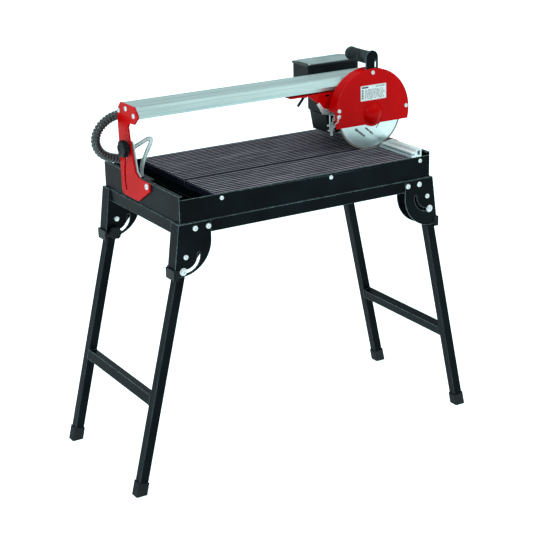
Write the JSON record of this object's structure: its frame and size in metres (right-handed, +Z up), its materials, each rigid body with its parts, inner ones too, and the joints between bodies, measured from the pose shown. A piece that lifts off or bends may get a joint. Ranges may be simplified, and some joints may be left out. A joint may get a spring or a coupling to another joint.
{
  "type": "tile cutter",
  "caption": "Overhead-rail wet tile cutter: a guarded circular blade on a sliding carriage over a ribbed table and water tray, on a folding leg stand.",
  "frame": {"origin": "on the floor, in the middle of the four feet", "axes": "+X along the rail towards the end where the cutting head rests, -Y towards the operator, +Z up"},
  "size_m": [1.0207, 0.434, 0.996],
  "materials": {
    "black_paint": "satin powder coat",
    "red_paint": "gloss enamel",
    "table_coating": "satin, worn on the rib tops",
    "rail_aluminium": "extruded, fine lengthwise lines",
    "fence_aluminium": "bright extruded",
    "zinc": "bright zinc plate",
    "blade_steel": "fine turned face",
    "machined_steel": "machined",
    "rubber": "matt",
    "foam": "closed-cell foam",
    "black_plastic": "fine texture",
    "lid_plastic": "satin grey",
    "conduit_plastic": "ribbed",
    "clear_vinyl": "clear flexible tube",
    "nylon": "natural",
    "copper": "wound stator"
  },
  "bodies": {
    "stand": {"water_tray": "black_paint", "base_frame": "black_paint", "stand_fasteners": "zinc", "pivot_bolts": "zinc", "bracket_caps": "black_plastic", "table_rear": "table_coating", "table_front": "table_coating", "table_supports": "black_paint", "stop_rails": "fence_aluminium", "bevel_posts": "zinc", "pump_body": "black_plastic", "conduit_clamp": "black_plastic", "conduit": "conduit_plastic", "water_hose": "clear_vinyl", "pump_cable": "rubber", "leg_bracket_left_front": "black_paint", "leg_bracket_left_rear": "black_paint", "leg_bracket_right_front": "black_paint", "leg_bracket_right_rear": "black_paint"},
    "left_legs": {"left_leg_front": "black_paint", "left_leg_rear": "black_paint", "left_crossbar": "black_paint", "left_feet": "rubber", "left_lock_bolts": "zinc"},
    "right_legs": {"right_leg_front": "black_paint", "right_leg_rear": "black_paint", "right_crossbar": "black_paint", "right_feet": "rubber", "right_lock_bolts": "zinc"},
    "leg_knob_left_front": {"leg_knob_left_front": "black_plastic"},
    "leg_knob_left_rear": {"leg_knob_left_rear": "black_plastic"},
    "leg_knob_right_front": {"leg_knob_right_front": "black_plastic"},
    "leg_knob_right_rear": {"leg_knob_right_rear": "black_plastic"},
    "tilt_frame": {"left_arm": "red_paint", "right_arm": "red_paint", "guide_rail": "rail_aluminium", "rail_screws": "zinc", "conduit_gland": "black_plastic"},
    "tilt_knob_left": {"bevel_knob_left": "black_plastic"},
    "tilt_knob_right": {"bevel_knob_right": "black_plastic"},
    "carriage": {"trolley_plate": "red_paint", "guide_shoes": "nylon", "motor_housing": "black_plastic", "motor_cowl": "black_plastic", "motor_stator": "copper", "spindle_bearings": "machined_steel", "guard_shell": "red_paint", "guard_cover": "red_paint", "head_screws": "zinc", "switch_box": "black_plastic", "switch_lid": "lid_plastic", "handle_support": "black_paint", "handle_grip": "foam", "latch_bracket": "zinc"},
    "blade_spindle": {"spindle": "machined_steel", "blade_flanges": "machined_steel", "diamond_blade": "blade_steel"},
    "rocker": {"switch_rocker": "black_plastic"},
    "latch": {"latch_pin": "zinc"},
    "clamp_lever": {"lock_lever": "black_paint"}
  },
  "joints": [
    {"name": "left_legs_fold", "type": "hinge", "parent": "stand", "child": "left_legs", "pos_m": [-0.349, 0, 0.5965], "axis": [0, -1, 0], "range_deg": [0, 103]},
    {"name": "right_legs_fold", "type": "hinge", "parent": "stand", "child": "right_legs", "pos_m": [0.365, 0, 0.6285], "axis": [0, 1, 0], "range_deg": [0, 101.6]},
    {"name": "leg_knob_left_front_turn", "type": "hinge", "parent": "left_legs", "child": "leg_knob_left_front", "pos_m": [-0.35756, -0.165, 0.56153], "axis": [0, 1, 0], "range_deg": [0, 180]},
    {"name": "leg_knob_left_rear_turn", "type": "hinge", "parent": "left_legs", "child": "leg_knob_left_rear", "pos_m": [-0.35756, 0.165, 0.56153], "axis": [0, -1, 0], "range_deg": [0, 180]},
    {"name": "leg_knob_right_front_turn", "type": "hinge", "parent": "right_legs", "child": "leg_knob_right_front", "pos_m": [0.37229, -0.165, 0.59325], "axis": [0, 1, 0], "range_deg": [0, 180]},
    {"name": "leg_knob_right_rear_turn", "type": "hinge", "parent": "right_legs", "child": "leg_knob_right_rear", "pos_m": [0.37229, 0.165, 0.59325], "axis": [0, -1, 0], "range_deg": [0, 180]},
    {"name": "bevel_tilt", "type": "hinge", "parent": "stand", "child": "tilt_frame", "pos_m": [0.009, -0.05, 0.736], "axis": [1, 0, 0], "range_deg": [0, 45]},
    {"name": "bevel_knob_left_turn", "type": "hinge", "parent": "stand", "child": "tilt_knob_left", "pos_m": [-0.373, 0.04771, 0.81234], "axis": [-1, 0, 0], "range_deg": [0, 180]},
    {"name": "bevel_knob_right_turn", "type": "hinge", "parent": "stand", "child": "tilt_knob_right", "pos_m": [0.391, 0.04771, 0.81234], "axis": [1, 0, 0], "range_deg": [0, 180]},
    {"name": "carriage_slide", "type": "slide", "parent": "tilt_frame", "child": "carriage", "axis": [1, 0, 0], "range_m": [-0.42, 0.015]},
    {"name": "blade_spin", "type": "hinge", "parent": "carriage", "child": "blade_spindle", "pos_m": [0.295, -0.05, 0.832], "axis": [0, 1, 0], "continuous": true},
    {"name": "rocker_press", "type": "hinge", "parent": "carriage", "child": "rocker", "pos_m": [0.3685, 0.151, 0.91], "axis": [0, 1, 0], "range_deg": [-7, 7]},
    {"name": "latch_pin_lift", "type": "slide", "parent": "carriage", "child": "latch", "axis": [0, 0, 1], "range_m": [0, 0.012]},
    {"name": "clamp_lever_turn", "type": "hinge", "parent": "carriage", "child": "clamp_lever", "pos_m": [0.128, 0.004, 0.889], "axis": [0, 0, -1], "range_deg": [0, 60]}
  ]
}
